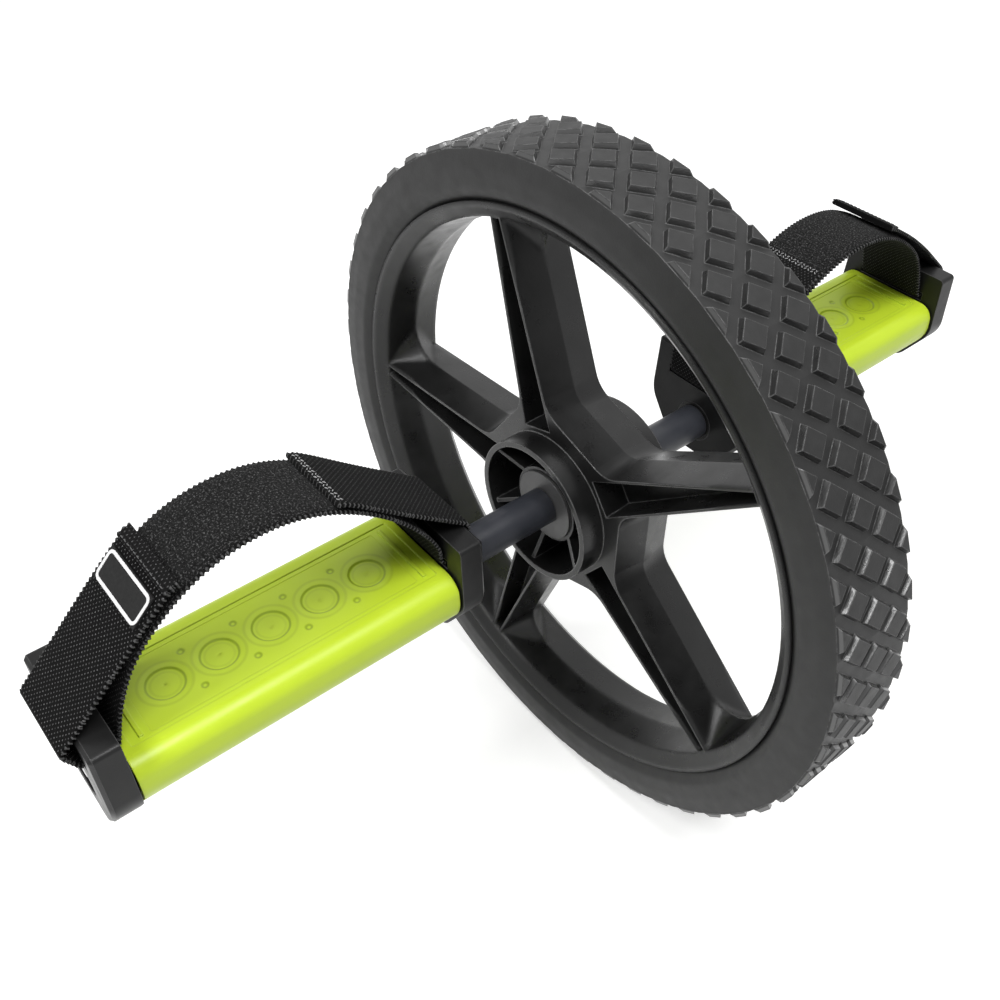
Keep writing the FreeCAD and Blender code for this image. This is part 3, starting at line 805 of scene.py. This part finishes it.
def grip_panel(side_name, material):
    """Ringed top of one grip, a fine sheet laid in the grip's sunk panel."""
    side = SIDES[side_name]
    columns = round(2 * panel_half_width / panel_cell)
    rows = round(2 * panel_half_length / panel_cell)
    vertices = []
    for row in range(rows + 1):
        along = panel_half_length * (2 * row / rows - 1)
        for column in range(columns + 1):
            across = panel_half_width * (2 * column / columns - 1)
            vertices.append((across, side * (grip_middle + along), grip_level(across, along)))
    faces = []
    wide = columns + 1
    for row in range(rows):
        for column in range(columns):
            corner = row * wide + column
            faces.append([corner, corner + 1, corner + wide + 1, corner + wide][::side])
    new_piece("grip_panel_" + side_name, vertices, faces, material, "pedal_" + side_name)


def strap(side_name, cloth, hook_cloth, fuzz, pale_thread, dark_thread):
    """All pieces of one strap, standing for its three solids."""
    side = SIDES[side_name]
    body = "pedal_" + side_name
    crest = crests[side_name]
    top = strap_thick / 2
    woven = toothed(strap_thick)
    arch = smooth_line(arch_corners(crest))
    loop = strip_piece("strap_web_" + side_name, arch, side, woven, cloth, body)
    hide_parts("strap_loop_" + side_name)
    back = smooth_line(return_corners(crest))
    sewn = strip_piece("strap_sewn_end_" + side_name, back, side, woven, cloth, body)
    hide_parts("strap_return_" + side_name)
    flap = smooth_line(flap_corners(side_name))
    hook = strip_piece("strap_hook_end_" + side_name, flap, side, woven, hook_cloth, body)
    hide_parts("strap_flap_" + side_name)
    fold = flap[:round(fold_length / station_step)]
    folded = toothed(fold_thick, top + fold_thick / 2 - fold_sink)
    strip_piece("strap_tip_fold_" + side_name, fold, side, folded, cloth, body)
    start, end = [round(len(arch) * share) for share in mat_shares]
    strip_piece("strap_loop_face_" + side_name, arch[start:end], side, matted(top), fuzz, body)
    back_length = length_of(back)
    for number, away in enumerate(hem_rows):
        stitch_row(f"hem_stitches_{side_name}_{number}", back, back_length - away, side,
                   top + hem_rise, pale_thread, body, **hem_stitch)
    stitch_row("tip_stitches_" + side_name, flap, tip_row, side, top + tip_rise, dark_thread, body,
               **tip_stitch)


def dress(material, *names):
    """Gives CAD nodes their material."""
    for name in names:
        for holder in nodes[name].material_slots:
            holder.material = material


def both(name):
    return [name + "_left", name + "_right"]


def area_light(name, place, target, size, power):
    """Soft square light, placed in metres and turned to its target."""
    light = bpy.data.lights.new(name, "AREA")
    light.shape = "SQUARE"
    light.size = size
    light.energy = power
    lamp = bpy.data.objects.new(name, light)
    lamp.location = place
    lamp.rotation_euler = (Vector(target) - Vector(place)).to_track_quat("-Z", "Y").to_euler()
    bpy.context.scene.collection.objects.link(lamp)


def studio():
    """White surroundings, a pale floor, soft lights and the camera."""
    scene = bpy.context.scene
    scene.view_settings.view_transform = "Standard"
    world = bpy.data.worlds.new("studio")
    world.use_nodes = True
    tree = world.node_tree
    shade = tree.nodes.new("ShaderNodeMix")
    shade.data_type = "RGBA"
    shade.inputs[6].default_value = grey(world_light)
    shade.inputs[7].default_value = grey(1.0)
    tree.links.new(seen_directly(tree), shade.inputs[0])
    tree.links.new(shade.outputs[2], tree.nodes["Background"].inputs["Color"])
    scene.world = world

    low = cad_box[0][2]
    mesh = bpy.data.meshes.new("floor")
    ways = ((-1, -1), (1, -1), (1, 1), (-1, 1))
    mesh.from_pydata([(x * floor_reach, y * floor_reach, low) for x, y in ways], [], [[0, 1, 2, 3]])
    mesh.materials.append(floor_paper())
    floor = bpy.data.objects.new("floor", mesh)
    scene.collection.objects.link(floor)

    for name, settings in lamps.items():
        area_light(name, *settings)

    camera = bpy.data.objects.new("camera", bpy.data.cameras.new("camera"))
    camera.data.lens = camera_lens
    turn = Matrix.Rotation(math.radians(camera_azimuth), 4, "Z")
    tip = Matrix.Rotation(math.radians(90 - camera_elevation), 4, "X")
    roll = Matrix.Rotation(math.radians(camera_roll), 4, "Z")
    camera.matrix_world = Matrix.Translation(Vector(camera_place) * METRE) @ turn @ tip @ roll
    scene.collection.objects.link(camera)
    scene.camera = camera


def main():
    # Each edge tone is partly wear and partly a painted highlight on the rounded edges.
    rim = plastic("rim_plastic", dark=grey(0.007), light=grey(0.014), edge=grey(0.18), gloss=0.32,
                  roughness=0.30, grain_size=0.9, grain_depth=0.03, edge_radius=1.1,
                  soft_from=rim_corner_start)
    caps = plastic("cap_plastic", dark=grey(0.007), light=grey(0.012), edge=grey(0.13), gloss=0.22,
                   roughness=0.36, grain_size=0.6, grain_depth=0.04, edge_radius=0.7)
    bush = plastic("bush_nylon", dark=grey(0.045), light=grey(0.065), edge=grey(0.15), gloss=0.4,
                   roughness=0.40, grain_size=1.2, grain_depth=0.03, edge_radius=0.5)
    sleeve = plastic("sleeve_paint", dark=(0.024, 0.026, 0.032, 1.0),
                     light=(0.036, 0.038, 0.046, 1.0), edge=grey(0.16), gloss=0.35, roughness=0.34,
                     grain_size=0.7, grain_depth=0.02, edge_radius=0.4)
    grip = grip_rubber()
    # dots: how strongly the painted glints show on the weave's raised dots
    cloth = webbing("webbing", grey(0.002), grey(0.009), dots=0.3)
    hook_cloth = webbing("hook_webbing", grey(0.001), grey(0.0045), dots=0.5)
    fuzz = loop_fuzz()
    pale_thread = sewing_thread("pale_thread", grey(0.22), grey(0.62))
    dark_thread = sewing_thread("dark_thread", grey(0.045), grey(0.13))
    patch = patch_face("patch_rubber", grey(0.009), grey(0.022), roughness=0.6)
    border = patch_face("patch_border", grey(0.70), grey(0.82), roughness=0.5)

    dress(rim, "wheel_rim")
    dress(tyre_rubber(), "tyre")
    dress(bush, "hub_bushes")
    dress(sleeve, "spacer_sleeves")
    dress(brushed_steel(), "axle_shaft", "end_washers", "end_nuts")
    dress(grip, *both("grip"))
    dress(caps, *both("inner_cap"), *both("outer_cap"), *both("pedal_core"))
    dress(cloth, *both("strap_loop"), *both("strap_return"), *both("strap_flap"))
    dress(patch, "label_patch")

    for side_name in SIDES:
        strap(side_name, cloth, hook_cloth, fuzz, pale_thread, dark_thread)
        grip_panel(side_name, grip)
    patch_border("right", border)
    studio()


main()
